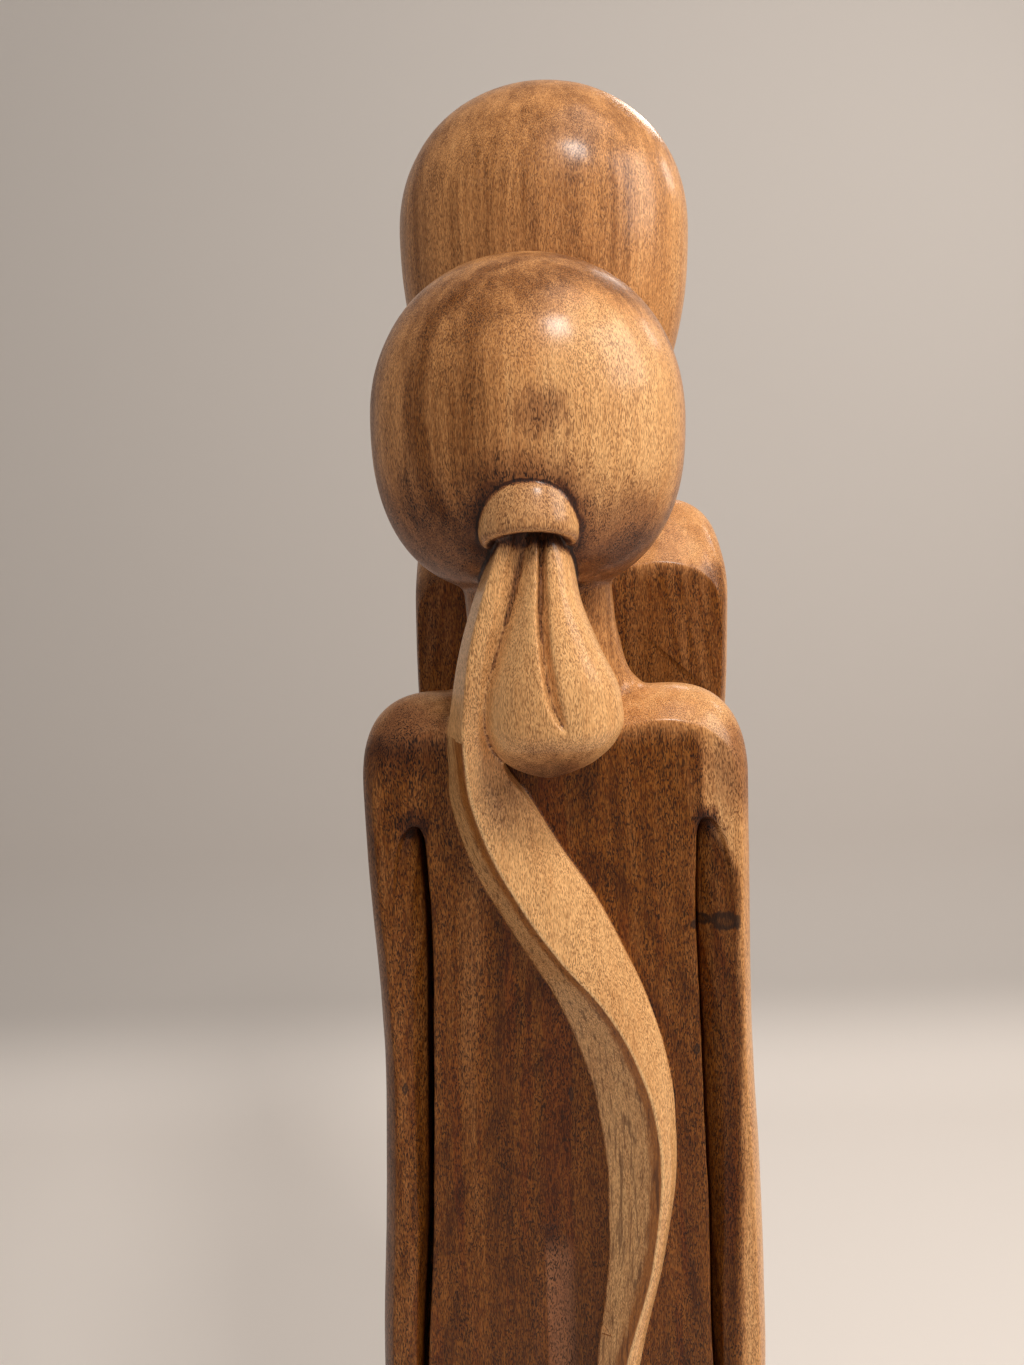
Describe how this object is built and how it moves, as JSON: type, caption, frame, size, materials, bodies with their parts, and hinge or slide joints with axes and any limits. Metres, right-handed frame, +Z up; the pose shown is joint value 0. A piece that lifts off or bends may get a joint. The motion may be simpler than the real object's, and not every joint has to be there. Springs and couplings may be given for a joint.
{
  "type": "wooden couple statue",
  "caption": "Carved wooden statue of a standing couple facing each other, with plain egg-shaped heads, slotted arms and a long tied lock of hair, on a low plinth of the same wood.",
  "frame": {"origin": "middle of the plinth's underside", "axes": "+Z up along the figures, +Y from the shorter figure towards the taller one, +X to the right of someone looking at the tied hair"},
  "size_m": [0.202, 0.23, 0.9934],
  "materials": {
    "waxed_wood": "hand-carved brown hardwood with a dull wax polish, dark pores and dirt in the hollows"
  },
  "bodies": {
    "root": {"couple_statue": "waxed_wood"}
  },
  "joints": []
}
